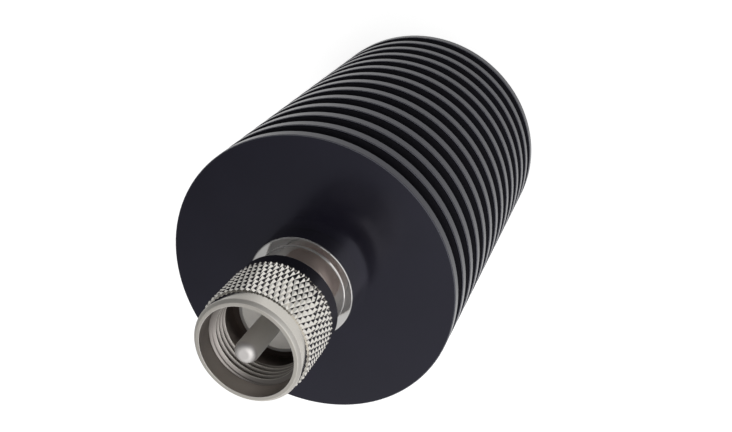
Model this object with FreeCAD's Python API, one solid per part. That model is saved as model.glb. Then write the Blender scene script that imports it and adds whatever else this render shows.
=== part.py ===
import FreeCAD
import Part
import math
import os

# Coaxial terminator: a finned round heatsink that holds a rod resistor on its axis, and a male
# coaxial connector with a captive knurled coupling nut. Millimetres. The origin is the centre of the
# rear face, which the part stands on, and +Z is the axis towards the connector.

# Heatsink: equal discs along a round core, turned from one bar
disc_count = 14
disc_diameter = 53.0
disc_thickness = 2.0
disc_gap = 3.25
disc_edge_chamfer = 0.15
core_diameter = 27.0
rear_wall = 18.0
mouth_chamfer = 0.4

# Coupling thread, which the barrel and the nut follow
thread_minor_diameter = 14.6
thread_length = 4.5

# Connector body: a flange on the heatsink's face, just wider than the nut's knurl, a boss, a neck
# and a barrel, and a spigot inside. The neck is a share of the barrel and its bore a share of the neck
flange_step = 0.1
flange_thickness = 4.0
flange_edge_radius = 0.2
flange_lip = 1.15
boss_step = 1.45
boss_height = 0.32
boss_edge_chamfer = 0.1
neck_share = 0.81
neck_bore_share = 0.76
neck_length = 4.9
barrel_room = 0.5
barrel_rim = 0.63
barrel_length = 4.6
barrel_edge_chamfer = 0.15
spigot_length = 9.0

# Insulators and the press ring behind them, inside the body
insulator_flange_thickness = 0.9
insulator_recess = 0.1
front_insulator_length = 4.9
rear_insulator_length = 6.6
bush_length = 3.0
bush_wall = 0.8
bush_inset = 1.0

# Centre pin: its free end, a share of the body's bore, the thicker land that the beads slide onto,
# and the shoulder between them
pin_share = 0.473
pin_land_step = 0.22
pin_reach = 12.1
pin_tip_radius = 1.2
pin_shoulder_step = 0.75
pin_shoulder_length = 1.2
pin_tail = 16.4
socket_depth = 4.5
socket_slot = 0.5
socket_slot_count = 2

# Retaining ring, split, in a groove of the barrel
ring_stand_out = 0.55
ring_width = 1.1
ring_thickness = 0.8
ring_gap_deg = 24.0
ring_groove_offset = 2.0
ring_groove_play = 0.1
nut_float = 0.3

# Coupling nut: its bands and knurl by their wall round the relief behind the thread
nut_length = 15.33
nut_rear_band_length = 2.95
nut_rear_band_wall = 1.2
nut_knurl_length = 9.5
nut_knurl_wall = 1.45
nut_knurl_chamfer = 0.2
nut_front_band_wall = 1.03
nut_edge_radius = 0.3
nut_nose_chamfer = 0.52
nut_mouth_chamfer = 0.08
nut_rear_wall = 3.4
nut_lip = 1.2
nut_groove_width = 1.0
nut_entry_step = 0.69
nut_entry_depth = 3.23
nut_entry_chamfer = 0.4
nut_relief_step = 0.8

# Resistor rod and its two metal caps
rod_diameter = 6.0
cap_wall = 0.3
cap_floor = 0.5
cap_length = 4.5
stub_diameter = 1.8
stub_length = 4.0

# Ground collet at the bottom of the bore, tapered sleeve on it, and the disc spring that clamps both
collet_length = 7.0
collet_floor = 1.5
collet_hole_diameter = 3.0
collet_finger_wall = 1.0
collet_trench_width = 1.0
collet_trench_depth = 4.5
collet_finger_drop = 0.2
collet_slot = 0.8
collet_slot_count = 4
sleeve_step = 0.5
sleeve_front_wall = 1.4
sleeve_rear_gap = 0.48
spring_thickness = 0.5
spring_rise = 0.4

# Clearances, on the radius, and the play left behind a piece that must not bottom out
thread_clearance = 0.05
press_clearance = 0.02
slip_clearance = 0.05
running_clearance = 0.08
end_play = 0.05
mouth_relief = 0.5

# Heights along the axis
face_z = disc_count * disc_thickness + (disc_count - 1) * disc_gap
boss_z = face_z + flange_thickness
neck_z = boss_z + boss_height
barrel_z = neck_z + neck_length
body_front_z = barrel_z + barrel_length
spigot_z = face_z - spigot_length
ring_z = barrel_z + ring_groove_offset
ring_top_z = ring_z + ring_thickness
nut_z = ring_top_z - nut_groove_width - nut_lip
nut_front_z = nut_z + nut_length
insulator_front_z = body_front_z - insulator_recess
insulator_flange_z = insulator_front_z - insulator_flange_thickness
shoulder_top_z = insulator_front_z - front_insulator_length
shoulder_z = shoulder_top_z - pin_shoulder_length
rear_insulator_z = shoulder_z - rear_insulator_length
bush_z = rear_insulator_z - bush_length
pin_tip_z = insulator_front_z + pin_reach
pin_rear_z = shoulder_z - pin_tail
cap_top_z = pin_rear_z - end_play
rod_top_z = cap_top_z - cap_floor
collet_seat_z = rear_wall + collet_floor
rod_z = collet_seat_z + cap_floor
sleeve_z = rear_wall + collet_length
spring_z = spigot_z - spring_thickness - spring_rise

# Radii that follow from the fits
thread_radius = thread_minor_diameter / 2
nut_relief_radius = thread_radius + nut_relief_step
knurl_radius = nut_relief_radius + nut_knurl_wall
flange_radius = knurl_radius + flange_step
spigot_radius = flange_radius - flange_lip
sleeve_radius = spigot_radius - sleeve_step
line_radius = sleeve_radius - sleeve_front_wall
barrel_radius = thread_radius - barrel_room
neck_radius = barrel_radius * neck_share
body_bore_radius = neck_radius * neck_bore_share
recess_radius = barrel_radius - barrel_rim
pin_radius = body_bore_radius * pin_share
pin_land_radius = pin_radius + pin_land_step
stub_radius = stub_diameter / 2
rod_radius = rod_diameter / 2
cap_bore_radius = rod_radius + press_clearance
cap_radius = cap_bore_radius + cap_wall
ring_radius = barrel_radius + ring_stand_out
ring_bore_radius = ring_radius - ring_width
nut_bore_radius = barrel_radius + running_clearance
nut_groove_radius = ring_radius + running_clearance

origin = FreeCAD.Vector(0, 0, 0)
up = FreeCAD.Vector(0, 0, 1)


def rounded_corner(before, here, after, radius):
    """The arc of the given radius that rounds the corner at here, with the two points it joins."""
    to_before = (before - here).normalize()
    to_after = (after - here).normalize()
    half_angle = to_before.getAngle(to_after) / 2
    start = here + to_before * (radius / math.tan(half_angle))
    end = here + to_after * (radius / math.tan(half_angle))
    centre = here + (to_before + to_after).normalize() * (radius / math.sin(half_angle))
    middle = centre + (here - centre).normalize() * radius
    return start, end, Part.Arc(start, middle, end).toShape()


def turned(points, degrees=360.0):
    """The solid that a closed outline of (radius, height) points makes when it is turned about Z.
    A point with a third number has its corner rounded to that radius."""
    corners = [FreeCAD.Vector(point[0], 0, point[1]) for point in points]
    count = len(points)
    starts = list(corners)
    ends = list(corners)
    arcs = {}
    for i, point in enumerate(points):
        if len(point) == 3:
            near = corners[i - 1]
            far = corners[(i + 1) % count]
            starts[i], ends[i], arcs[i] = rounded_corner(near, corners[i], far, point[2])
    edges = []
    for i in range(count):
        if i in arcs:
            edges.append(arcs[i])
        edges.append(Part.LineSegment(ends[i], starts[(i + 1) % count]).toShape())
    face = Part.Face(Part.Wire(edges))
    return face.revolve(origin, up, degrees)


def slotted(solid, width, low, high, inner, outer, count):
    """The solid with evenly spaced radial slots cut in it between two heights and two radii."""
    for i in range(count):
        slot = Part.makeBox(outer - inner, width, high - low, FreeCAD.Vector(inner, -width / 2, low))
        slot.rotate(origin, up, i * 360.0 / count)
        solid = solid.cut(slot)
    return solid


def heatsink():
    """Discs on a core, one turned piece, with a stepped blind bore that opens in the front face."""
    disc_radius = disc_diameter / 2
    core_radius = core_diameter / 2
    bore_radius = sleeve_radius + slip_clearance
    mouth_radius = spigot_radius + thread_clearance
    outline = [(0, 0)]
    for i in range(disc_count):
        low = i * (disc_thickness + disc_gap)
        high = low + disc_thickness
        if i > 0:
            outline.append((core_radius, low))
        outline.append((disc_radius - disc_edge_chamfer, low))
        outline.append((disc_radius, low + disc_edge_chamfer))
        outline.append((disc_radius, high - disc_edge_chamfer))
        outline.append((disc_radius - disc_edge_chamfer, high))
        if i < disc_count - 1:
            outline.append((core_radius, high))
    outline += [
        (mouth_radius + mouth_chamfer, face_z),
        (mouth_radius, face_z - mouth_chamfer),
        (mouth_radius, spigot_z - mouth_relief),
        (bore_radius, spigot_z - mouth_relief),
        (bore_radius, rear_wall),
        (0, rear_wall),
    ]
    return turned(outline)


def connector_body():
    """Spigot, flange, boss, neck and grooved barrel in one turned piece, bored through."""
    boss_radius = flange_radius - boss_step
    groove_radius = ring_bore_radius - (ring_width - ring_stand_out) - ring_groove_play
    groove_top_z = ring_top_z + nut_float
    return turned([
        (line_radius, spigot_z),
        (spigot_radius, spigot_z),
        (spigot_radius, face_z),
        (flange_radius, face_z),
        (flange_radius, boss_z, flange_edge_radius),
        (boss_radius, boss_z),
        (boss_radius, neck_z - boss_edge_chamfer),
        (boss_radius - boss_edge_chamfer, neck_z),
        (neck_radius, neck_z),
        (neck_radius, barrel_z),
        (barrel_radius, barrel_z),
        (barrel_radius, ring_z),
        (groove_radius, ring_z),
        (groove_radius, groove_top_z),
        (barrel_radius, groove_top_z),
        (barrel_radius, body_front_z - barrel_edge_chamfer),
        (barrel_radius - barrel_edge_chamfer, body_front_z),
        (recess_radius, body_front_z),
        (recess_radius, insulator_flange_z),
        (body_bore_radius, insulator_flange_z),
        (body_bore_radius, bush_z - bush_inset),
    ])


def front_insulator():
    """Flanged bead whose face shows round the pin, seated in the barrel from the front."""
    rim = recess_radius - press_clearance
    outer = body_bore_radius - press_clearance
    inner = pin_land_radius + press_clearance
    return turned([
        (inner, shoulder_top_z),
        (outer, shoulder_top_z),
        (outer, insulator_flange_z),
        (rim, insulator_flange_z),
        (rim, insulator_front_z),
        (inner, insulator_front_z),
    ])


def rear_insulator():
    """Plain bead that backs the pin's shoulder."""
    outer = body_bore_radius - press_clearance
    inner = pin_land_radius + press_clearance
    return turned([
        (inner, rear_insulator_z),
        (outer, rear_insulator_z),
        (outer, shoulder_z),
        (inner, shoulder_z),
    ])


def insulator_bush():
    """Metal ring pressed into the body behind the rear bead."""
    outer = body_bore_radius - press_clearance
    return turned([
        (outer - bush_wall, bush_z),
        (outer, bush_z),
        (outer, rear_insulator_z),
        (outer - bush_wall, rear_insulator_z),
    ])


def centre_pin():
    """Round-nosed pin with a shoulder between the beads and a slotted socket at its inner end."""
    shoulder_radius = pin_land_radius + pin_shoulder_step
    socket_radius = stub_radius + press_clearance
    socket_top_z = pin_rear_z + socket_depth
    pin = turned([
        (socket_radius, pin_rear_z),
        (pin_land_radius, pin_rear_z),
        (pin_land_radius, shoulder_z),
        (shoulder_radius, shoulder_z),
        (shoulder_radius, shoulder_top_z),
        (pin_land_radius, shoulder_top_z),
        (pin_land_radius, insulator_front_z),
        (pin_radius, insulator_front_z),
        (pin_radius, pin_tip_z, pin_tip_radius),
        (0, pin_tip_z),
        (0, socket_top_z),
        (socket_radius, socket_top_z),
    ])
    return slotted(pin, socket_slot, pin_rear_z, socket_top_z, 0, shoulder_radius, socket_slot_count)


def retaining_ring():
    """Flat split ring that sits half in the barrel's groove and half in the nut's."""
    ring = turned([
        (ring_bore_radius, ring_z),
        (ring_radius, ring_z),
        (ring_radius, ring_top_z),
        (ring_bore_radius, ring_top_z),
    ], 360.0 - ring_gap_deg)
    ring.rotate(origin, up, ring_gap_deg / 2)
    return ring


def coupling_nut():
    """Nut with a plain rear band, the round that carries the knurl, and a plain front band. Inside are
    the lipped rear wall with the ring's groove, a relief, the thread's minor bore and a plain entry."""
    entry_radius = thread_radius + nut_entry_step
    rear_band_radius = nut_relief_radius + nut_rear_band_wall
    front_band_radius = nut_relief_radius + nut_front_band_wall
    knurl_z = nut_z + nut_rear_band_length
    knurl_top_z = knurl_z + nut_knurl_length
    entry_z = nut_front_z - nut_entry_depth
    thread_top_z = entry_z - nut_entry_chamfer
    thread_z = thread_top_z - thread_length
    floor_z = nut_z + nut_rear_wall
    groove_z = nut_z + nut_lip
    return turned([
        (nut_bore_radius, nut_z),
        (rear_band_radius, nut_z, nut_edge_radius),
        (rear_band_radius, knurl_z),
        (knurl_radius - nut_knurl_chamfer, knurl_z),
        (knurl_radius, knurl_z + nut_knurl_chamfer),
        (knurl_radius, knurl_top_z - nut_knurl_chamfer),
        (knurl_radius - nut_knurl_chamfer, knurl_top_z),
        (front_band_radius, knurl_top_z),
        (front_band_radius, nut_front_z - nut_nose_chamfer),
        (front_band_radius - nut_nose_chamfer, nut_front_z),
        (entry_radius + nut_mouth_chamfer, nut_front_z),
        (entry_radius, nut_front_z - nut_mouth_chamfer),
        (entry_radius, entry_z),
        (thread_radius, thread_top_z),
        (thread_radius, thread_z),
        (nut_relief_radius, thread_z),
        (nut_relief_radius, floor_z),
        (nut_bore_radius, floor_z),
        (nut_bore_radius, ring_top_z),
        (nut_groove_radius, ring_top_z),
        (nut_groove_radius, groove_z),
        (nut_bore_radius, groove_z),
    ])


def disc_spring():
    """Coned spring washer between the tapered sleeve and the end of the spigot."""
    inner = line_radius + slip_clearance
    outer = sleeve_radius - slip_clearance
    return turned([
        (inner, spring_z + spring_rise),
        (outer, spring_z),
        (outer, spring_z + spring_thickness),
        (inner, spigot_z),
    ])


def outer_conductor():
    """Sleeve round the rod, bored to a long taper that closes towards the grounded end."""
    return turned([
        (cap_radius + sleeve_rear_gap, sleeve_z),
        (sleeve_radius, sleeve_z),
        (sleeve_radius, spring_z),
        (line_radius, spring_z),
    ])


def ground_collet():
    """Slotted collet at the bottom of the bore, with spring fingers that grip the rear cap."""
    grip_radius = cap_radius + press_clearance
    finger_radius = grip_radius + collet_finger_wall
    trench_radius = finger_radius + collet_trench_width
    hole_radius = collet_hole_diameter / 2
    trench_z = sleeve_z - collet_trench_depth
    finger_top_z = sleeve_z - collet_finger_drop
    collet = turned([
        (hole_radius, rear_wall),
        (sleeve_radius, rear_wall),
        (sleeve_radius, sleeve_z),
        (trench_radius, sleeve_z),
        (trench_radius, trench_z),
        (finger_radius, trench_z),
        (finger_radius, finger_top_z),
        (grip_radius, finger_top_z),
        (grip_radius, collet_seat_z),
        (hole_radius, collet_seat_z),
    ])
    return slotted(collet, collet_slot, trench_z, finger_top_z, 0, trench_radius, collet_slot_count)


def resistor_rod():
    """Ceramic rod that carries the resistive film, between the two caps."""
    return turned([(0, rod_z), (rod_radius, rod_z), (rod_radius, rod_top_z), (0, rod_top_z)])


def front_cap():
    """Metal cup on the rod's live end, with the stub that plugs into the pin's socket."""
    skirt_z = rod_top_z + cap_floor - cap_length
    stub_top_z = cap_top_z + stub_length
    return turned([
        (cap_bore_radius, skirt_z),
        (cap_radius, skirt_z),
        (cap_radius, cap_top_z),
        (stub_radius, cap_top_z),
        (stub_radius, stub_top_z),
        (0, stub_top_z),
        (0, rod_top_z),
        (cap_bore_radius, rod_top_z),
    ])


def rear_cap():
    """Metal cup on the rod's grounded end, held in the collet."""
    skirt_top_z = collet_seat_z + cap_length
    return turned([
        (0, collet_seat_z),
        (cap_radius, collet_seat_z),
        (cap_radius, skirt_top_z),
        (cap_bore_radius, skirt_top_z),
        (cap_bore_radius, rod_z),
        (0, rod_z),
    ])


os.makedirs("parts", exist_ok=True)
sub_parts = [
    heatsink,
    connector_body,
    front_insulator,
    rear_insulator,
    insulator_bush,
    centre_pin,
    retaining_ring,
    coupling_nut,
    disc_spring,
    outer_conductor,
    ground_collet,
    resistor_rod,
    front_cap,
    rear_cap,
]
for make in sub_parts:
    make().exportStep("parts/" + make.__name__ + ".step")
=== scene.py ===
import math
from collections import namedtuple

import bpy
from mathutils import Matrix, Vector


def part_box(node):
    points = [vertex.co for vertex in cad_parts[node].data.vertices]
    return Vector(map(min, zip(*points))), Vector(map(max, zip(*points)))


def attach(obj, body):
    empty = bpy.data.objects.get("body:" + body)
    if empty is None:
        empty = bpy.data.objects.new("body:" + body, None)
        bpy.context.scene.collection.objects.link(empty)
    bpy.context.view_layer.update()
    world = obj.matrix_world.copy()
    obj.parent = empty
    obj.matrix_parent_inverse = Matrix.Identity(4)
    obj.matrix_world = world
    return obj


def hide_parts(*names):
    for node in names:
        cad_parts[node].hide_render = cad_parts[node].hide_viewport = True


bl_info = {
    "name": "Coaxial terminator dressing",
    "version": (1, 0, 0),
    "blender": (4, 5, 0),
    "location": "View3D > Sidebar > Terminator",
    "description": "Models the knurled and threaded coupling nut, finishes every piece and lights them",
    "category": "Object",
}

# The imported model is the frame. Everything is in metres, the origin is the centre of the rear face, and +Z
# is the axis towards the connector
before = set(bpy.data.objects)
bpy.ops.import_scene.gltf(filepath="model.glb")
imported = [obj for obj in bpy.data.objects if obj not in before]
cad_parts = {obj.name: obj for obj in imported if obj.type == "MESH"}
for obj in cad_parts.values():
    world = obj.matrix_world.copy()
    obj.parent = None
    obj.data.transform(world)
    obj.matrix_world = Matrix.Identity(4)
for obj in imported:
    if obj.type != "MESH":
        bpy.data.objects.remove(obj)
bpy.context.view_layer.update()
MM = 0.001
NUT_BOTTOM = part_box("coupling_nut")[0].z
NUT_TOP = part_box("coupling_nut")[1].z

# The discs: their front face, their rims and the chamfer along each edge
FACE_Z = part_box("heatsink")[1].z
RIM_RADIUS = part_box("heatsink")[1].x
RIM_CHAMFER = 0.15 * MM
# The body's neck and barrel, from the flange's boss to the barrel's rim
BOSS_TOP = FACE_Z + 4.32 * MM
BARREL_TOP = FACE_Z + 13.82 * MM
NECK_RADIUS = 5.5 * MM
BARREL_RADIUS = 6.8 * MM
# The centre pin and its rounded nose
PIN_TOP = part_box("centre_pin")[1].z
NOSE_HEIGHT = 0.9 * MM

# Flat sides round the nut's blank, and round one turn of its thread
NUT_SIDES = 180
THREAD_SIDES = 120
# How far the knurl's ring reaches into the blank at each side, so that the two join cleanly
KNURL_OVERLAP = 0.12 * MM
# Lengths that differ by less than this are the same, and vertices closer than the next are one
SAME_LENGTH = 0.001 * MM
MERGE_DISTANCE = 0.0005 * MM
# Past every side of the object: the open end of a region of a finish
FAR = 1

# The room's light by direction: where its change starts and ends, and its strength at both. The directions
# are to the picture's right, out to both sides, from behind the camera forwards, and from the horizon up
ROOM_LIGHT = (
    (0.25, -0.25, 0.4, 1.25),
    (0.4, 0.8, 1.0, 0.5),
    (-0.6, 0.3, 0.36, 0.7),
    (0, 0.5, 0.6, 1.0),
)

# A part of a piece with a finish of its own, between two distances from the axis and two heights
Region = namedtuple("Region", "inner outer low high colour roughness")


# Sizes and colours that a user may change


class NutSizes(bpy.types.PropertyGroup):
    """Sizes of the coupling nut, from its rear edge upwards"""

    rear_band_radius: bpy.props.FloatProperty(
        name="Rear band radius", description="Plain polished band behind the knurl",
        default=9.3 * MM, unit="LENGTH", precision=5)
    rear_band_length: bpy.props.FloatProperty(
        name="Rear band length", description="From the rear edge to the knurl",
        default=2.95 * MM, unit="LENGTH", precision=5)
    front_band_radius: bpy.props.FloatProperty(
        name="Front band radius", description="Plain band in front of the knurl",
        default=9.13 * MM, unit="LENGTH", precision=5)
    rear_edge_radius: bpy.props.FloatProperty(
        name="Rear edge radius", description="Rounding of the rear outer edge",
        default=0.3 * MM, unit="LENGTH", precision=5)
    nose_chamfer: bpy.props.FloatProperty(
        name="Nose chamfer", description="Chamfer of the front outer edge",
        default=0.52 * MM, unit="LENGTH", precision=5)
    corner_radius: bpy.props.FloatProperty(
        name="Corner radius", description="Softening of the chamfer's two corners",
        default=0.12 * MM, unit="LENGTH", precision=5)
    mouth_radius: bpy.props.FloatProperty(
        name="Mouth radius", description="Plain bore in front of the thread",
        default=7.99 * MM, unit="LENGTH", precision=5)
    mouth_depth: bpy.props.FloatProperty(
        name="Mouth depth", description="From the front face to the start of the thread",
        default=3.23 * MM, unit="LENGTH", precision=5)
    mouth_taper: bpy.props.FloatProperty(
        name="Mouth taper", description="Height of the cone between the mouth and the thread",
        default=0.4 * MM, unit="LENGTH", precision=5)
    thread_start: bpy.props.FloatProperty(
        name="Thread start", description="From the rear edge to the thread's rear end",
        default=7.2 * MM, unit="LENGTH", precision=5)
    rear_wall: bpy.props.FloatProperty(
        name="Rear wall", description="From the rear edge to the floor that the relief ends on",
        default=3.4 * MM, unit="LENGTH", precision=5)
    rear_bore_radius: bpy.props.FloatProperty(
        name="Rear bore radius", description="Bore that turns on the barrel",
        default=6.88 * MM, unit="LENGTH", precision=5)
    groove_radius: bpy.props.FloatProperty(
        name="Ring groove radius", description="Groove that the retaining ring sits in",
        default=7.43 * MM, unit="LENGTH", precision=5)
    groove_bottom: bpy.props.FloatProperty(
        name="Ring groove bottom", description="From the rear edge to the ring's groove",
        default=1.2 * MM, unit="LENGTH", precision=5)
    groove_width: bpy.props.FloatProperty(
        name="Ring groove width", description="Width of the ring's groove",
        default=1.0 * MM, unit="LENGTH", precision=5)


class ThreadSizes(bpy.types.PropertyGroup):
    """Sizes of the right-handed coupling thread"""

    minor_radius: bpy.props.FloatProperty(
        name="Minor radius", description="Radius at the crests of the internal thread",
        default=7.3 * MM, unit="LENGTH", precision=5)
    major_radius: bpy.props.FloatProperty(
        name="Major radius", description="Radius at the roots of the internal thread",
        default=7.94 * MM, unit="LENGTH", precision=5)
    pitch: bpy.props.FloatProperty(
        name="Pitch", description="Distance between two turns, 24 to the inch",
        default=25.4 / 24 * MM, unit="LENGTH", precision=6)
    relief_radius: bpy.props.FloatProperty(
        name="Relief radius", description="Plain turned relief behind the thread",
        default=8.1 * MM, unit="LENGTH", precision=5)


class KnurlSizes(bpy.types.PropertyGroup):
    """Sizes of the diamond knurl"""

    grooves: bpy.props.IntProperty(
        name="Grooves", description="Grooves of each hand round the nut", default=60, min=12)
    crest_radius: bpy.props.FloatProperty(
        name="Crest radius", description="Radius over the tips of the diamonds",
        default=9.55 * MM, unit="LENGTH", precision=5)
    root_radius: bpy.props.FloatProperty(
        name="Root radius", description="Radius where two grooves cross",
        default=9.22 * MM, unit="LENGTH", precision=5)
    row_height: bpy.props.FloatProperty(
        name="Row height", description="Distance along the nut between two rows of tips",
        default=1.333 * MM, unit="LENGTH", precision=6)
    row_shift: bpy.props.FloatProperty(
        name="Row shift", description="Sideways step from row to row, as a share of a diamond",
        default=0.541, min=0, max=1)
    tip_width: bpy.props.FloatProperty(
        name="Tip width", description="Width of the worn flat on each tip",
        default=0.04 * MM, unit="LENGTH", precision=6)
    length: bpy.props.FloatProperty(
        name="Length", description="Length of the knurled part",
        default=9.5 * MM, unit="LENGTH", precision=5)
    turn: bpy.props.FloatProperty(
        name="Turn", description="Turn of the first column of diamonds",
        default=math.radians(2.66), subtype="ANGLE")
    start: bpy.props.FloatProperty(
        name="Start", description="Height of the first row above the rear end of the knurl",
        default=0.325 * MM, unit="LENGTH", precision=6)


class Finishes(bpy.types.PropertyGroup):
    """Colours of the finishes"""

    anodised_colour: bpy.props.FloatVectorProperty(
        name="Anodised", description="Black anodised aluminium", subtype="COLOR",
        default=(0.0062, 0.0054, 0.0118), min=0, max=1)
    rim_colour: bpy.props.FloatVectorProperty(
        name="Rims", description="Rims of the discs", subtype="COLOR",
        default=(0.008, 0.008, 0.014), min=0, max=1)
    # Painted light: a lighter colour between the discs, standing in for light that reaches into the gaps
    painted_gap_light: bpy.props.FloatVectorProperty(
        name="Gaps", description="Thinner dye between the discs", subtype="COLOR",
        default=(0.03, 0.029, 0.036), min=0, max=1)
    # Painted highlight: a light grey on the disc chamfers, for the bright line along each edge
    painted_edge_highlight: bpy.props.FloatVectorProperty(
        name="Edges", description="Chamfers of the discs, a little worn", subtype="COLOR",
        default=(0.17, 0.17, 0.2), min=0, max=1)
    satin_nickel: bpy.props.FloatVectorProperty(
        name="Satin nickel", description="Rear band and thread crests of the coupling nut", subtype="COLOR",
        default=(0.66, 0.635, 0.59), min=0, max=1)
    # Painted light: a near-white nickel on faces that look down into shade, so their mirror image reads
    # bright
    painted_light_rear_nickel: bpy.props.FloatVectorProperty(
        name="Rear nickel", description="Nut's rear face and the barrel's underside", subtype="COLOR",
        default=(0.96, 0.95, 0.94), min=0, max=1)
    # Painted shade: the plate's nickel made a tenth darker, to dim the front band's reflection
    painted_shade_band_nickel: bpy.props.FloatVectorProperty(
        name="Band nickel", description="Front band of the coupling nut", subtype="COLOR",
        default=(0.6, 0.575, 0.53), min=0, max=1)
    chamfer_nickel: bpy.props.FloatVectorProperty(
        name="Chamfer nickel", description="Dull front chamfer of the coupling nut", subtype="COLOR",
        default=(0.83, 0.8, 0.75), min=0, max=1)
    # Painted light: a lighter copy of the plate's nickel, to brighten the knurl's highlights
    painted_light_knurl_nickel: bpy.props.FloatVectorProperty(
        name="Knurl nickel", description="Knurl and end face of the coupling nut", subtype="COLOR",
        default=(0.74, 0.715, 0.67), min=0, max=1)
    inner_nickel: bpy.props.FloatVectorProperty(
        name="Inner nickel", description="Dull mouth of the coupling nut", subtype="COLOR",
        default=(0.64, 0.59, 0.56), min=0, max=1)
    neck_nickel: bpy.props.FloatVectorProperty(
        name="Neck nickel", description="Dull neck of the connector's body", subtype="COLOR",
        default=(0.72, 0.61, 0.57), min=0, max=1)
    # Painted shade: a dark colour for the thread's flanks and roots, for the shade in its grooves
    painted_shade_flank_nickel: bpy.props.FloatVectorProperty(
        name="Flank nickel", description="Flanks and roots of the coupling thread", subtype="COLOR",
        default=(0.36, 0.33, 0.31), min=0, max=1)
    # Painted shade: a dark colour for the relief behind the thread, for the shade deep inside the nut
    painted_shade_relief_nickel: bpy.props.FloatVectorProperty(
        name="Relief nickel", description="Dark bare metal behind the coupling thread", subtype="COLOR",
        default=(0.14, 0.12, 0.11), min=0, max=1)
    bright_nickel: bpy.props.FloatVectorProperty(
        name="Bright nickel", description="Connector body", subtype="COLOR",
        default=(0.72, 0.71, 0.7), min=0, max=1)
    # Painted light: a lighter nickel on the pin's nose, for its highlight
    pin_nickel: bpy.props.FloatVectorProperty(
        name="Pin nickel", description="Worn nose of the centre pin", subtype="COLOR",
        default=(0.86, 0.83, 0.81), min=0, max=1)
    # Painted light: a near-white nickel for the pin's side, against the dark walls that it mirrors
    painted_light_pin_side: bpy.props.FloatVectorProperty(
        name="Pin side", description="Dull side of the centre pin, and resistor caps", subtype="COLOR",
        default=(0.92, 0.9, 0.86), min=0, max=1)
    insulator: bpy.props.FloatVectorProperty(
        name="Insulator", description="Matte fluoropolymer", subtype="COLOR",
        default=(0.93, 0.9, 0.85), min=0, max=1)
    brass: bpy.props.FloatVectorProperty(
        name="Brass", description="Bare turned brass inside", subtype="COLOR",
        default=(0.75, 0.56, 0.28), min=0, max=1)
    bronze: bpy.props.FloatVectorProperty(
        name="Bronze", description="Ground collet", subtype="COLOR",
        default=(0.62, 0.38, 0.2), min=0, max=1)
    steel: bpy.props.FloatVectorProperty(
        name="Spring steel", description="Retaining ring and disc spring", subtype="COLOR",
        default=(0.5, 0.5, 0.5), min=0, max=1)
    ceramic: bpy.props.FloatVectorProperty(
        name="Ceramic", description="Resistor rod", subtype="COLOR",
        default=(0.82, 0.81, 0.78), min=0, max=1)


class StageSettings(bpy.types.PropertyGroup):
    """Camera, floor and light"""

    lens: bpy.props.FloatProperty(
        name="Lens", description="Focal length that gives the photograph's perspective",
        default=45.94, min=1, unit="CAMERA")
    camera_place: bpy.props.FloatVectorProperty(
        name="Camera", description="Place of the camera", subtype="TRANSLATION",
        default=(0, -0.09771, 0.20296), precision=5)
    floor_colour: bpy.props.FloatVectorProperty(
        name="Floor", description="Colour of the floor", subtype="COLOR",
        default=(0.6, 0.6, 0.6), min=0, max=1)
    floor_seen: bpy.props.FloatProperty(
        name="Floor, seen", description="The floor's own glow where the camera sees it",
        default=0.82, min=0)
    floor_right: bpy.props.FloatProperty(
        name="Floor, mirrored right", description="The same in mirror images, to the picture's right",
        default=0.61, min=0)
    floor_left: bpy.props.FloatProperty(
        name="Floor, mirrored left", description="The same in mirror images, to the picture's left",
        default=0.2, min=0)
    key_power: bpy.props.FloatProperty(
        name="Key light", description="Power of the large soft light, in watts", default=4.0, min=0)
    key_size: bpy.props.FloatProperty(
        name="Key size", description="Side of the large soft light", default=1.2, min=0, unit="LENGTH")
    key_place: bpy.props.FloatVectorProperty(
        name="Key place", description="Place of the large soft light", subtype="TRANSLATION",
        default=(-0.35, -0.15, 1.2))


# Modelling helpers


def choose(piece):
    """Selects a piece alone, in object mode."""
    bpy.ops.object.select_all(action="DESELECT")
    bpy.context.view_layer.objects.active = piece
    piece.select_set(True)


def begin_edit(piece):
    """Opens a piece in edit mode with nothing selected."""
    choose(piece)
    bpy.ops.object.mode_set(mode="EDIT")
    bpy.ops.mesh.select_mode(type="VERT")
    bpy.ops.mesh.select_all(action="DESELECT")


def end_edit():
    """Goes back to object mode."""
    bpy.ops.object.mode_set(mode="OBJECT")


def select_where(piece, test):
    """Selects the vertices of the edited piece whose place passes the test, and what lies between them."""
    bpy.ops.mesh.select_all(action="DESELECT")
    bpy.ops.object.mode_set(mode="OBJECT")
    for vertex in piece.data.vertices:
        vertex.select = test(vertex.co)
    bpy.ops.object.mode_set(mode="EDIT")
    bpy.ops.mesh.select_mode(type="VERT")


def radius_of(point):
    """Distance of a point from the axis."""
    return math.hypot(point.x, point.y)


def near(value, target):
    """True if two lengths agree to a thousandth of a millimetre."""
    return abs(value - target) < SAME_LENGTH


def first_vertex(name, place):
    """A new piece with one vertex, from a primitive plane merged to its centre."""
    bpy.ops.object.select_all(action="DESELECT")
    bpy.ops.mesh.primitive_plane_add(size=MM, location=(0, 0, 0))
    piece = bpy.context.object
    piece.name = name
    piece.data.name = name
    begin_edit(piece)
    bpy.ops.mesh.select_all(action="SELECT")
    bpy.ops.mesh.merge(type="CENTER")
    bpy.ops.transform.translate(value=place)
    return piece


def draw_outline(name, points):
    """A new piece with a line through (radius, height) points, extruded vertex by vertex."""
    places = [Vector((radius, 0, height)) for radius, height in points]
    piece = first_vertex(name, places[0])
    for before, after in zip(places, places[1:]):
        bpy.ops.mesh.extrude_region_move(TRANSFORM_OT_translate={"value": after - before})
    return piece


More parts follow.
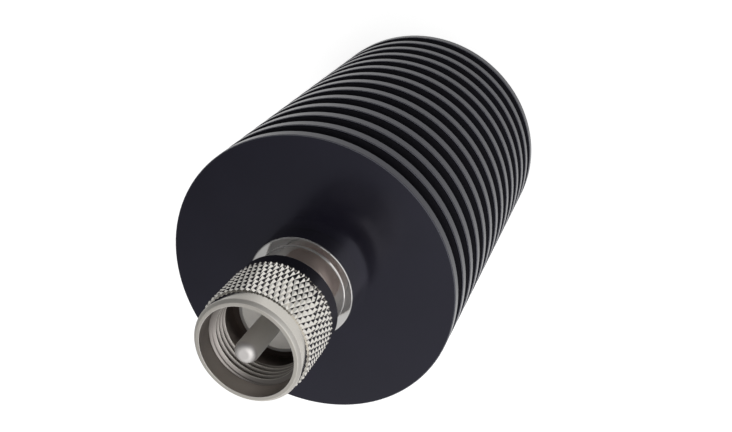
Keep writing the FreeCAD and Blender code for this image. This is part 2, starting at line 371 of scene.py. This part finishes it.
def spin_closed(steps):
    """Spins the outline once round the axis, and closes the seam."""
    bpy.ops.mesh.select_all(action="SELECT")
    bpy.ops.mesh.spin(steps=steps, angle=2 * math.pi, center=(0, 0, 0), axis=(0, 0, 1))
    bpy.ops.mesh.select_all(action="SELECT")
    bpy.ops.mesh.remove_doubles(threshold=MERGE_DISTANCE)
    bpy.ops.mesh.normals_make_consistent(inside=False)


def round_edge(piece, radius, height, amount, segments):
    """Bevels the round edge that runs at a radius and a height."""
    select_where(piece, lambda p: near(radius_of(p), radius) and near(p.z, height))
    bpy.ops.mesh.bevel(offset=amount, segments=segments, affect="EDGES", clamp_overlap=True)


def apply_modifiers(piece):
    """Applies every modifier of a piece in order."""
    choose(piece)
    for modifier in list(piece.modifiers):
        bpy.ops.object.modifier_apply(modifier=modifier.name)


def combine(piece, tool, operation):
    """Joins a tool shape to a piece or cuts it away, and removes the tool."""
    cut = piece.modifiers.new(operation.title(), "BOOLEAN")
    cut.operation = operation
    cut.solver = "EXACT"
    cut.object = tool
    apply_modifiers(piece)
    bpy.data.objects.remove(tool)


def smooth(piece, degrees):
    """Smooth shading, with edges sharper than an angle kept sharp."""
    choose(piece)
    bpy.ops.object.shade_smooth_by_angle(angle=math.radians(degrees))


# The coupling nut: its turned blank, the thread tap that cuts it and the knurl ring that joins it


def nut_blank(nut, thread, knurl):
    """The nut's turned blank, a little under the knurl's roots where the knurl goes."""
    knurl_bottom = NUT_BOTTOM + nut.rear_band_length
    knurl_top = knurl_bottom + knurl.length
    mouth_z = NUT_TOP - nut.mouth_depth
    chamfer_z = NUT_TOP - nut.nose_chamfer
    nose_radius = nut.front_band_radius - nut.nose_chamfer
    thread_z = NUT_BOTTOM + nut.thread_start
    floor_z = NUT_BOTTOM + nut.rear_wall
    groove_z = NUT_BOTTOM + nut.groove_bottom
    groove_top_z = groove_z + nut.groove_width
    blank_radius = knurl.root_radius - KNURL_OVERLAP
    mouth_softening = 0.5 * nut.corner_radius
    outline = [
        (nut.rear_bore_radius, NUT_BOTTOM),
        (nut.rear_band_radius, NUT_BOTTOM),
        (nut.rear_band_radius, knurl_bottom + KNURL_OVERLAP),
        (blank_radius, knurl_bottom + KNURL_OVERLAP),
        (blank_radius, knurl_top - KNURL_OVERLAP),
        (nut.front_band_radius, knurl_top - KNURL_OVERLAP),
        (nut.front_band_radius, chamfer_z),
        (nose_radius, NUT_TOP),
        (nut.mouth_radius, NUT_TOP),
        (nut.mouth_radius, mouth_z),
        (thread.minor_radius, mouth_z - nut.mouth_taper),
        (thread.minor_radius, thread_z),
        (thread.relief_radius, thread_z),
        (thread.relief_radius, floor_z),
        (nut.rear_bore_radius, floor_z),
        (nut.rear_bore_radius, groove_top_z),
        (nut.groove_radius, groove_top_z),
        (nut.groove_radius, groove_z),
        (nut.rear_bore_radius, groove_z),
        (nut.rear_bore_radius, NUT_BOTTOM),
    ]
    blank = draw_outline("knurled_nut", outline)
    spin_closed(NUT_SIDES)
    round_edge(blank, nut.rear_band_radius, NUT_BOTTOM, nut.rear_edge_radius, segments=6)
    round_edge(blank, nut.front_band_radius, chamfer_z, nut.corner_radius, segments=3)
    round_edge(blank, nose_radius, NUT_TOP, nut.corner_radius, segments=3)
    round_edge(blank, nut.mouth_radius, NUT_TOP, mouth_softening, segments=2)
    round_edge(blank, nut.mouth_radius, mouth_z, mouth_softening, segments=2)
    end_edit()
    return blank


def thread_tap(thread, low, high):
    """The shape that the thread's groove leaves: one groove's outline carried up a helix."""
    half_flat = 0.09 * MM
    flank_angle = math.radians(30)
    half_width = half_flat + (thread.major_radius - thread.minor_radius) * math.tan(flank_angle)
    # The tap starts inside the thread's crests, so that it cuts them cleanly
    inner = thread.minor_radius - 0.4 * MM
    tap = draw_outline("thread_tap", [
        (inner, low - half_width),
        (thread.minor_radius, low - half_width),
        (thread.major_radius, low - half_flat),
        (thread.major_radius, low + half_flat),
        (thread.minor_radius, low + half_width),
        (inner, low + half_width),
        (inner, low - half_width),
    ])
    bpy.ops.mesh.select_all(action="SELECT")
    bpy.ops.mesh.remove_doubles(threshold=MERGE_DISTANCE)
    end_edit()
    helix = tap.modifiers.new("Helix", "SCREW")
    helix.axis = "Z"
    helix.angle = 2 * math.pi
    helix.steps = THREAD_SIDES
    helix.render_steps = THREAD_SIDES
    helix.screw_offset = thread.pitch
    helix.iterations = math.ceil((high - low) / thread.pitch)
    helix.use_merge_vertices = True
    helix.merge_threshold = MERGE_DISTANCE
    apply_modifiers(tap)
    begin_edit(tap)
    bpy.ops.mesh.select_mode(type="EDGE")
    bpy.ops.mesh.select_non_manifold(extend=False, use_boundary=True, use_wire=False,
                                     use_multi_face=False, use_non_contiguous=False, use_verts=False)
    bpy.ops.mesh.fill_holes(sides=0)
    bpy.ops.mesh.select_all(action="SELECT")
    bpy.ops.mesh.normals_make_consistent(inside=False)
    end_edit()
    return tap


def knurl_ring(knurl, bottom):
    """The knurl as a ring: one diamond is raised to a tip, and repeated up and round the nut."""
    step = 2 * math.pi / knurl.grooves
    corners = {
        "right": (0.5 * step, 0),
        "top": ((knurl.row_shift - 0.5) * step, knurl.row_height),
        "left": (-0.5 * step, 0),
        "bottom": ((0.5 - knurl.row_shift) * step, -knurl.row_height),
    }
    bpy.ops.object.select_all(action="DESELECT")
    bpy.ops.mesh.primitive_circle_add(vertices=4, radius=MM, fill_type="NGON", location=(0, 0, 0))
    ring = bpy.context.object
    ring.name = "knurl_ring"
    starts = [vertex.co.copy() for vertex in ring.data.vertices]
    begin_edit(ring)
    for start, (angle, height) in zip(starts, corners.values()):
        across, along = math.cos(angle), math.sin(angle)
        place = Vector((knurl.root_radius * across, knurl.root_radius * along, height))
        select_where(ring, lambda p, start=start: near((p - start).length, 0))
        bpy.ops.transform.translate(value=place - start)
    bpy.ops.mesh.select_all(action="SELECT")
    bpy.ops.mesh.normals_make_consistent(inside=False)
    bpy.ops.mesh.select_all(action="SELECT")
    bpy.ops.mesh.poke()
    select_where(ring, lambda p: near(p.y, 0) and near(p.z, 0))
    bpy.ops.transform.translate(value=(knurl.crest_radius - knurl.root_radius, 0, 0))
    bpy.ops.mesh.bevel(offset=knurl.tip_width, segments=1, affect="VERTICES")
    end_edit()
    # Up the nut: enough rows to pass both ends, each turned on by the row's shift
    spare_rows = 3
    rows = math.ceil(knurl.length / knurl.row_height) + spare_rows
    lean = bpy.data.objects.new("row_step", None)
    lean.matrix_world = Matrix.Translation((0, 0, knurl.row_height)) @ Matrix.Rotation(
        knurl.row_shift * step, 4, "Z")
    around = bpy.data.objects.new("column_step", None)
    around.matrix_world = Matrix.Rotation(step, 4, "Z")
    for name, target, count in (("Rows", lean, rows), ("Columns", around, knurl.grooves)):
        bpy.context.scene.collection.objects.link(target)
        bpy.context.view_layer.update()
        repeat = ring.modifiers.new(name, "ARRAY")
        repeat.count = count
        repeat.use_relative_offset = False
        repeat.use_object_offset = True
        repeat.offset_object = target
    apply_modifiers(ring)
    bpy.data.objects.remove(lean)
    bpy.data.objects.remove(around)
    begin_edit(ring)
    bpy.ops.mesh.select_all(action="SELECT")
    # The repeated diamonds' corners meet a little less exactly than a spin's seam
    bpy.ops.mesh.remove_doubles(threshold=4 * MERGE_DISTANCE)
    first_row = bottom + knurl.start - 0.5 * spare_rows * knurl.row_height
    bpy.ops.mesh.select_all(action="SELECT")
    bpy.ops.transform.rotate(value=-knurl.turn, orient_axis="Z", center_override=(0, 0, 0))
    bpy.ops.transform.translate(value=(0, 0, first_row))
    for height, side in ((bottom, -1), (bottom + knurl.length, 1)):
        bpy.ops.mesh.select_all(action="SELECT")
        bpy.ops.mesh.bisect(plane_co=(0, 0, height), plane_no=(0, 0, side), clear_outer=True,
                            threshold=0.0001 * MM)
    # Both cut ends are drawn in, past the blank's own surface, and joined by a plain bore
    wall = 2.5 * KNURL_OVERLAP
    share = (knurl.root_radius - wall) / knurl.crest_radius
    for height in (bottom, bottom + knurl.length):
        select_where(ring, lambda p, height=height: near(p.z, height))
        bpy.ops.mesh.extrude_region_move(TRANSFORM_OT_translate={"value": (0, 0, 0)})
        bpy.ops.transform.resize(value=(share, share, 1), center_override=(0, 0, height))
    below_roots = knurl.root_radius - 0.02 * MM
    select_where(ring, lambda p: radius_of(p) < below_roots)
    bpy.ops.mesh.bridge_edge_loops()
    bpy.ops.mesh.select_all(action="SELECT")
    bpy.ops.mesh.normals_make_consistent(inside=False)
    end_edit()
    return ring


# Finishes, all from nodes


class Nodes:
    """A node tree, with short calls to add and join nodes."""

    def __init__(self, tree):
        self.tree = tree
        self.coordinates = self.add("ShaderNodeTexCoord")

    def add(self, kind, **settings):
        """A new node, with its own settings."""
        node = self.tree.nodes.new(kind)
        for key, value in settings.items():
            setattr(node, key, value)
        return node

    def join(self, output, target):
        """Joins an output to an input."""
        self.tree.links.new(output, target)

    def math(self, operation, first, second=None):
        """A maths node on an output and an output or a number."""
        node = self.add("ShaderNodeMath", operation=operation)
        for socket, value in zip(node.inputs, (first, second)):
            if isinstance(value, (int, float)):
                socket.default_value = value
            elif value is not None:
                self.join(value, socket)
        return node.outputs[0]

    def parts(self, vector):
        """The three numbers of a vector."""
        node = self.add("ShaderNodeSeparateXYZ")
        self.join(vector, node.inputs[0])
        return node.outputs

    def ramp(self, value, start, end, first, last, kind="LINEAR"):
        """A number that goes from first to last while a value goes from start to end."""
        node = self.add("ShaderNodeMapRange", interpolation_type=kind)
        for name, number in (("From Min", start), ("From Max", end), ("To Min", first), ("To Max", last)):
            node.inputs[name].default_value = number
        self.join(value, node.inputs["Value"])
        return node.outputs["Result"]


class Recipe(Nodes):
    """A material's nodes round its shader."""

    def __init__(self, name):
        self.material = bpy.data.materials.new(name)
        self.material.use_nodes = True
        super().__init__(self.material.node_tree)
        self.shader = self.tree.nodes["Principled BSDF"]
        self.place = self.coordinates.outputs["Object"]

    def surface(self, **values):
        """Sets the shader's own sockets."""
        for key, value in values.items():
            name = key.replace("_", " ")
            socket = next(s for s in self.shader.inputs if s.name.lower() == name)
            is_colour = hasattr(value, "__len__") and len(value) == 3
            socket.default_value = (*value, 1) if is_colour else value

    def noise(self, scale, detail, along=None):
        """A noise value in space, or along one number."""
        dimensions = "3D" if along is None else "1D"
        node = self.add("ShaderNodeTexNoise", noise_dimensions=dimensions)
        node.inputs["Scale"].default_value = scale
        node.inputs["Detail"].default_value = detail
        if along is None:
            self.join(self.place, node.inputs["Vector"])
        else:
            self.join(along, node.inputs["W"])
        return node.outputs["Fac"]

    def spread(self, noise, low, high):
        """Maps a noise value's middle range to a range."""
        middle_low, middle_high = 0.3, 0.7
        return self.ramp(noise, middle_low, middle_high, low, high)

    def radius_and_height(self):
        """Distance from the axis, and height."""
        x, y, height = self.parts(self.place)
        squares = self.math("ADD", self.math("MULTIPLY", x, x), self.math("MULTIPLY", y, y))
        return self.math("SQRT", squares), height

    def cut_line(self):
        """A number that is the same all along a turning tool's mark: height plus distance from the axis."""
        return self.math("ADD", *self.radius_and_height())

    def within(self, inner, outer, low, high):
        """1 between two distances from the axis and two heights, and 0 elsewhere."""
        radius, height = self.radius_and_height()
        across = self.math(
            "MULTIPLY", self.math("GREATER_THAN", radius, inner), self.math("LESS_THAN", radius, outer))
        along = self.math(
            "MULTIPLY", self.math("GREATER_THAN", height, low), self.math("LESS_THAN", height, high))
        return self.math("MULTIPLY", across, along)

    def blend(self, factor, first, second):
        """A mix of two colours, each an output or a plain colour."""
        node = self.add("ShaderNodeMix", data_type="RGBA")
        self.join(factor, node.inputs["Factor"])
        ends = [socket for socket in node.inputs if socket.type == "RGBA"]
        for socket, value in zip(ends, (first, second)):
            if isinstance(value, bpy.types.NodeSocket):
                self.join(value, socket)
            else:
                socket.default_value = (*value, 1)
        return next(socket for socket in node.outputs if socket.type == "RGBA")

    def finish(self, colour, roughness, marks, depth):
        """Joins colour and roughness to the shader, and raises marks to a depth."""
        self.join(colour, self.shader.inputs["Base Color"])
        self.join(roughness, self.shader.inputs["Roughness"])
        bump = self.add("ShaderNodeBump")
        bump.inputs["Distance"].default_value = depth
        self.join(marks, bump.inputs["Height"])
        self.join(bump.outputs["Normal"], self.shader.inputs["Normal"])


def shade(colour, share):
    """A colour made lighter or darker by a share."""
    return tuple(min(1, part * share) for part in colour)


def turned_metal(name, colour, roughness, mark_depth, variation=0.05, regions=()):
    """Plated or bare turned metal: fine marks round the axis, and handling that varies the gloss."""
    recipe = Recipe(name)
    recipe.surface(metallic=1.0)
    marks = recipe.noise(scale=4500, detail=2, along=recipe.cut_line())
    smear = recipe.noise(scale=260, detail=3)
    wear_and_painted_light = recipe.blend(recipe.spread(smear, 0, 1), shade(colour, 0.95), shade(colour, 1.04))
    half = variation / 2
    gloss = recipe.math("ADD", recipe.spread(smear, -variation, variation),
                        recipe.spread(marks, roughness - half, roughness + half))
    # Regions lie over the plate with colours of their own; on the nut, the body and the pin several are
    # painted light or painted shade
    for region in regions:
        mask = recipe.within(region.inner, region.outer, region.low, region.high)
        wear_and_painted_light = recipe.blend(mask, wear_and_painted_light, region.colour)
        change = recipe.math("MULTIPLY", mask, region.roughness - roughness)
        gloss = recipe.math("ADD", gloss, change)
    recipe.finish(wear_and_painted_light, gloss, marks, mark_depth)
    return recipe.material


def black_anodised(finishes):
    """Black anodised aluminium: a satin dyed layer over fine turning marks, with a painted highlight along
    the discs' edges.
    """
    recipe = Recipe("Black anodised aluminium")
    recipe.surface(ior=1.48, specular_tint=(0.81, 0.81, 1.0))
    marks = recipe.noise(scale=5200, detail=2, along=recipe.cut_line())
    smear = recipe.noise(scale=70, detail=3)
    colour = finishes.anodised_colour
    dye = recipe.blend(recipe.spread(smear, 0, 1), shade(colour, 0.85), shade(colour, 1.2))
    # Painted light: between the front face and the rear face, short of the rims, a lighter colour stands in
    # for light in the gaps
    skin = 0.1 * MM
    rim_start = RIM_RADIUS - 0.3 * MM
    dye = recipe.blend(recipe.within(0, rim_start, skin, FACE_Z - skin), dye, finishes.painted_gap_light)
    dye = recipe.blend(recipe.within(rim_start, FAR, -FAR, FAR), dye, finishes.rim_colour)
    # Painted highlight: the chamfers, short of the rims, get a light grey for the bright line along each
    # edge
    edge = recipe.within(RIM_RADIUS - RIM_CHAMFER, RIM_RADIUS - 0.04 * MM, -FAR, FAR)
    dye = recipe.blend(edge, dye, finishes.painted_edge_highlight)
    gloss = recipe.math("ADD", recipe.spread(smear, -0.02, 0.02), recipe.spread(marks, 0.18, 0.22))
    recipe.finish(dye, gloss, marks, 0.0002 * MM)
    return recipe.material


def insulator_plastic(colour):
    """Matte turned fluoropolymer with faint rings."""
    recipe = Recipe("Matte fluoropolymer")
    recipe.surface(ior=1.38)
    rings = recipe.noise(scale=2600, detail=3, along=recipe.cut_line())
    cloud = recipe.noise(scale=400, detail=3)
    tone = recipe.blend(recipe.spread(cloud, 0, 1), shade(colour, 0.94), shade(colour, 1.05))
    recipe.finish(tone, recipe.spread(rings, 0.42, 0.56), rings, 0.0008 * MM)
    return recipe.material


def filmed_ceramic(colour):
    """Ceramic rod under a grey-brown resistive film, with a fine grain."""
    recipe = Recipe("Filmed ceramic")
    grain = recipe.noise(scale=2200, detail=4)
    tone = recipe.blend(recipe.spread(grain, 0, 1), shade(colour, 0.9), colour)
    recipe.finish(tone, recipe.spread(grain, 0.3, 0.45), grain, 0.004 * MM)
    return recipe.material


def nut_regions(nut, thread, knurl, finishes):
    """The parts of the coupling nut whose finish differs, some of them painted light or painted shade. A
    later part lies over an earlier one.
    """
    bore = thread.relief_radius + 0.1 * MM
    crest = thread.minor_radius + 0.06 * MM
    end_skin = 0.02 * MM
    thread_z = NUT_BOTTOM + nut.thread_start
    thread_end = NUT_TOP - nut.mouth_depth - nut.mouth_taper
    mouth_z = thread_end + nut.mouth_taper
    mouth_end = NUT_TOP - nut.corner_radius
    knurl_z = NUT_BOTTOM + nut.rear_band_length
    knurl_end = knurl_z + knurl.length
    chamfer_z = NUT_TOP - nut.nose_chamfer
    end_face = nut.mouth_radius + 0.1 * MM
    return (
        # Painted shade: the relief behind the thread is darkened for the shade deep inside the nut
        Region(0, bore, NUT_BOTTOM, thread_z, finishes.painted_shade_relief_nickel, roughness=0.35),
        # Painted shade: the thread's flanks and roots are darkened for the shade in the grooves
        Region(0, bore, thread_z, mouth_z, finishes.painted_shade_flank_nickel, roughness=0.35),
        Region(0, crest, thread_z, thread_end, finishes.satin_nickel, roughness=0.2),
        Region(0, bore, mouth_z, mouth_end, finishes.inner_nickel, roughness=0.45),
        Region(bore, FAR, -FAR, knurl_z, finishes.satin_nickel, roughness=0.05),
        # Painted shade: the front band in a darker copy of the plate's nickel
        Region(bore, FAR, knurl_end, chamfer_z, finishes.painted_shade_band_nickel, roughness=0.07),
        # Painted light: the knurl in a lighter copy of the plate's nickel
        Region(bore, FAR, knurl_z, knurl_end, finishes.painted_light_knurl_nickel, roughness=0.04),
        # Painted light: the rear face, which looks down into shade, in a near-white nickel
        Region(0, FAR, -FAR, NUT_BOTTOM + end_skin, finishes.painted_light_rear_nickel, roughness=0.6),
        Region(end_face, FAR, chamfer_z - 0.05 * MM, FAR, finishes.chamfer_nickel, roughness=0.55),
        # Painted light: the end face shares the knurl's lighter nickel
        Region(0, FAR, NUT_TOP - end_skin, FAR, finishes.painted_light_knurl_nickel, roughness=0.35),
    )


def body_regions(finishes):
    """The parts of the connector's body whose finish differs from its polished plate, the barrel's underside
    with painted light.
    """
    skin = 0.05 * MM
    # From just above the boss to just under the barrel's rim
    low = BOSS_TOP + 0.02 * MM
    high = BARREL_TOP - 0.2 * MM
    neck = NECK_RADIUS + skin
    barrel = BARREL_RADIUS + skin
    return (
        Region(0, neck, low, high, finishes.neck_nickel, roughness=0.5),
        # Painted light: the barrel's underside, which looks down into shade, in a near-white nickel
        Region(neck, barrel, low, high, finishes.painted_light_rear_nickel, roughness=0.5),
        Region(0, barrel, high, FAR, finishes.bright_nickel, roughness=0.45),
    )


def finish_nodes(material, *nodes):
    """Gives CAD nodes a material."""
    for name in nodes:
        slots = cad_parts[name].data.materials
        slots.clear()
        slots.append(material)


# Operators, one for each piece or group of like pieces


class TERMINATOR_OT_coupling_nut(bpy.types.Operator):
    """Models the coupling nut: turned blank, cut thread and diamond knurl"""

    bl_idname = "terminator.coupling_nut"
    bl_label = "Coupling nut"

    def execute(self, context):
        scene = context.scene
        nut, thread, knurl = scene.nut_sizes, scene.thread_sizes, scene.knurl_sizes
        blank = nut_blank(nut, thread, knurl)
        combine(blank, knurl_ring(knurl, NUT_BOTTOM + nut.rear_band_length), "UNION")
        low = NUT_BOTTOM + nut.thread_start - thread.pitch
        high = NUT_TOP - nut.mouth_depth + nut.mouth_taper
        combine(blank, thread_tap(thread, low, high), "DIFFERENCE")
        smooth(blank, degrees=18)
        blank.modifiers.new("Level faces", "WEIGHTED_NORMAL").keep_sharp = True
        apply_modifiers(blank)
        plate = turned_metal(
            "Satin nickel plate", scene.finishes.satin_nickel, roughness=0.1, mark_depth=0.0002 * MM,
            variation=0.03, regions=nut_regions(nut, thread, knurl, scene.finishes))
        blank.data.materials.clear()
        blank.data.materials.append(plate)
        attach(blank, "nut")
        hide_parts("coupling_nut")
        return {"FINISHED"}


class TERMINATOR_OT_heatsink(bpy.types.Operator):
    """Finishes the finned heatsink in black anodised aluminium"""

    bl_idname = "terminator.heatsink"
    bl_label = "Heatsink"

    def execute(self, context):
        finish_nodes(black_anodised(context.scene.finishes), "heatsink")
        return {"FINISHED"}


class TERMINATOR_OT_connector(bpy.types.Operator):
    """Finishes the connector's body, the pin and the resistor's caps, the insulators and the springs"""

    bl_idname = "terminator.connector"
    bl_label = "Connector"

    def execute(self, context):
        finishes = context.scene.finishes
        plate = turned_metal(
            "Polished nickel plate", finishes.bright_nickel, roughness=0.07, mark_depth=0.00005 * MM,
            variation=0.02, regions=body_regions(finishes))
        finish_nodes(plate, "connector_body")
        # Painted light: the pin's side, and the caps, in a near-white nickel
        side = Region(0, FAR, -FAR, PIN_TOP - NOSE_HEIGHT, finishes.painted_light_pin_side, roughness=0.75)
        # Painted light: the pin's nose in a lighter nickel, for its highlight
        wear_and_painted_light = turned_metal(
            "Nickel plated pin", finishes.pin_nickel, roughness=0.5, mark_depth=0.0003 * MM,
            regions=(side,))
        finish_nodes(wear_and_painted_light, "centre_pin", "front_cap", "rear_cap")
        finish_nodes(insulator_plastic(finishes.insulator), "front_insulator", "rear_insulator")
        steel = turned_metal("Spring steel", finishes.steel, roughness=0.28, mark_depth=0.001 * MM)
        finish_nodes(steel, "retaining_ring", "disc_spring")
        return {"FINISHED"}


class TERMINATOR_OT_inside(bpy.types.Operator):
    """Finishes the other pieces that are closed up inside the heatsink and the body"""

    bl_idname = "terminator.inside"
    bl_label = "Inner pieces"

    def execute(self, context):
        finishes = context.scene.finishes
        brass = turned_metal("Bare turned brass", finishes.brass, roughness=0.26, mark_depth=0.002 * MM)
        finish_nodes(brass, "insulator_bush", "outer_conductor")
        bronze = turned_metal("Turned bronze", finishes.bronze, roughness=0.3, mark_depth=0.002 * MM)
        finish_nodes(bronze, "ground_collet")
        finish_nodes(filmed_ceramic(finishes.ceramic), "resistor_rod")
        return {"FINISHED"}


class TERMINATOR_OT_stage(bpy.types.Operator):
    """Sets the camera, the pale floor and the soft studio light"""

    bl_idname = "terminator.stage"
    bl_label = "Stage"

    def execute(self, context):
        scene = context.scene
        scene.view_settings.view_transform = "Standard"
        self.camera(scene)
        self.floor(scene.stage_settings)
        self.room(scene)
        self.key_light(scene)
        return {"FINISHED"}

    def camera(self, scene):
        """The camera, at the photograph's place and angle."""
        settings = scene.stage_settings
        data = bpy.data.cameras.new("Camera")
        data.lens = settings.lens
        data.sensor_width = 36
        data.clip_start = 0.005
        data.clip_end = 20
        camera = bpy.data.objects.new("Camera", data)
        scene.collection.objects.link(camera)
        # Directions of the picture's right side and of its top
        right = Vector((-0.76391, -0.55352, -0.33176))
        up = Vector((0.64531, -0.65198, -0.39810))
        turn = Matrix((right, up, right.cross(up))).transposed()
        camera.matrix_world = Matrix.Translation(settings.camera_place) @ turn.to_4x4()
        scene.camera = camera

    def floor(self, settings):
        """A wide pale floor, a hair under the rear face. Seen, it is white but for the object's shadow."""
        bpy.ops.object.select_all(action="DESELECT")
        bpy.ops.mesh.primitive_plane_add(size=6, location=(0, 0, -0.02 * MM))
        floor = bpy.context.object
        floor.name = "floor"
        recipe = Recipe("Pale floor")
        recipe.surface(base_color=settings.floor_colour, roughness=0.9, emission_color=(1, 1, 1))
        # It glows to the camera and to mirrored rays, and not to the rest, so it keeps the shadow
        path = recipe.add("ShaderNodeLightPath").outputs
        x = recipe.parts(recipe.place)[0]
        mirrored = recipe.ramp(x, 50 * MM, 90 * MM, settings.floor_right, settings.floor_left)
        mirror = recipe.math("MAXIMUM", path["Is Glossy Ray"], path["Is Transmission Ray"])
        glow = recipe.math(
            "MAXIMUM", recipe.math("MULTIPLY", path["Is Camera Ray"], settings.floor_seen),
            recipe.math("MULTIPLY", mirror, mirrored))
        recipe.join(glow, recipe.shader.inputs["Emission Strength"])
        floor.data.materials.append(recipe.material)

    def room(self, scene):
        """A soft room, brighter to the right and overhead than behind the camera. Seen, it is white."""
        world = bpy.data.worlds.new("Studio")
        scene.world = world
        world.use_nodes = True
        world.node_tree.nodes.clear()
        nodes = Nodes(world.node_tree)
        x, y, z = nodes.parts(nodes.coordinates.outputs["Generated"])
        strength = None
        for direction, span in zip((x, nodes.math("ABSOLUTE", x), y, z), ROOM_LIGHT):
            share = nodes.ramp(direction, *span, kind="SMOOTHSTEP")
            strength = share if strength is None else nodes.math("MULTIPLY", strength, share)
        unseen = nodes.add("ShaderNodeBackground")
        seen = nodes.add("ShaderNodeBackground")
        for light in (unseen, seen):
            light.inputs["Color"].default_value = (1, 1, 1, 1)
        nodes.join(strength, unseen.inputs["Strength"])
        either = nodes.add("ShaderNodeMixShader")
        path = nodes.add("ShaderNodeLightPath").outputs
        ends = (path["Is Camera Ray"], unseen.outputs[0], seen.outputs[0])
        for output, target in zip(ends, either.inputs):
            nodes.join(output, target)
        out = nodes.add("ShaderNodeOutputWorld")
        nodes.join(either.outputs[0], out.inputs["Surface"])

    def key_light(self, scene):
        """One large soft key light from above."""
        settings = scene.stage_settings
        data = bpy.data.lights.new("key_light", "AREA")
        data.shape = "SQUARE"
        data.size = settings.key_size
        data.energy = settings.key_power
        lamp = bpy.data.objects.new("key_light", data)
        lamp.location = settings.key_place
        aimed_at = Vector((0, 0, 50 * MM))
        lamp.rotation_mode = "QUATERNION"
        lamp.rotation_quaternion = (aimed_at - lamp.location).to_track_quat("-Z", "Y")
        scene.collection.objects.link(lamp)


class TERMINATOR_PT_panel(bpy.types.Panel):
    """Lists the sizes, finishes and steps"""

    bl_idname = "TERMINATOR_PT_panel"
    bl_label = "Coaxial terminator"
    bl_space_type = "VIEW_3D"
    bl_region_type = "UI"
    bl_category = "Terminator"

    def draw(self, context):
        for group in GROUPS:
            settings = getattr(context.scene, group)
            box = self.layout.box()
            box.label(text=group.replace("_", " ").capitalize())
            for key in settings.__annotations__:
                box.prop(settings, key)
        for operator in OPERATORS:
            self.layout.operator(operator.bl_idname)


GROUPS = {
    "nut_sizes": NutSizes,
    "thread_sizes": ThreadSizes,
    "knurl_sizes": KnurlSizes,
    "finishes": Finishes,
    "stage_settings": StageSettings,
}
OPERATORS = (
    TERMINATOR_OT_coupling_nut,
    TERMINATOR_OT_heatsink,
    TERMINATOR_OT_connector,
    TERMINATOR_OT_inside,
    TERMINATOR_OT_stage,
)
CLASSES = (*GROUPS.values(), *OPERATORS, TERMINATOR_PT_panel)


def register():
    """Registers the classes, and the settings on the scene."""
    for item in CLASSES:
        bpy.utils.register_class(item)
    for name, group in GROUPS.items():
        setattr(bpy.types.Scene, name, bpy.props.PointerProperty(type=group))


def unregister():
    """Removes what register added."""
    for name in GROUPS:
        delattr(bpy.types.Scene, name)
    for item in reversed(CLASSES):
        bpy.utils.unregister_class(item)


def main():
    """Makes and finishes every piece in order."""
    register()
    bpy.ops.terminator.coupling_nut()
    bpy.ops.terminator.heatsink()
    bpy.ops.terminator.connector()
    bpy.ops.terminator.inside()
    bpy.ops.terminator.stage()


if __name__ == "__main__":
    main()
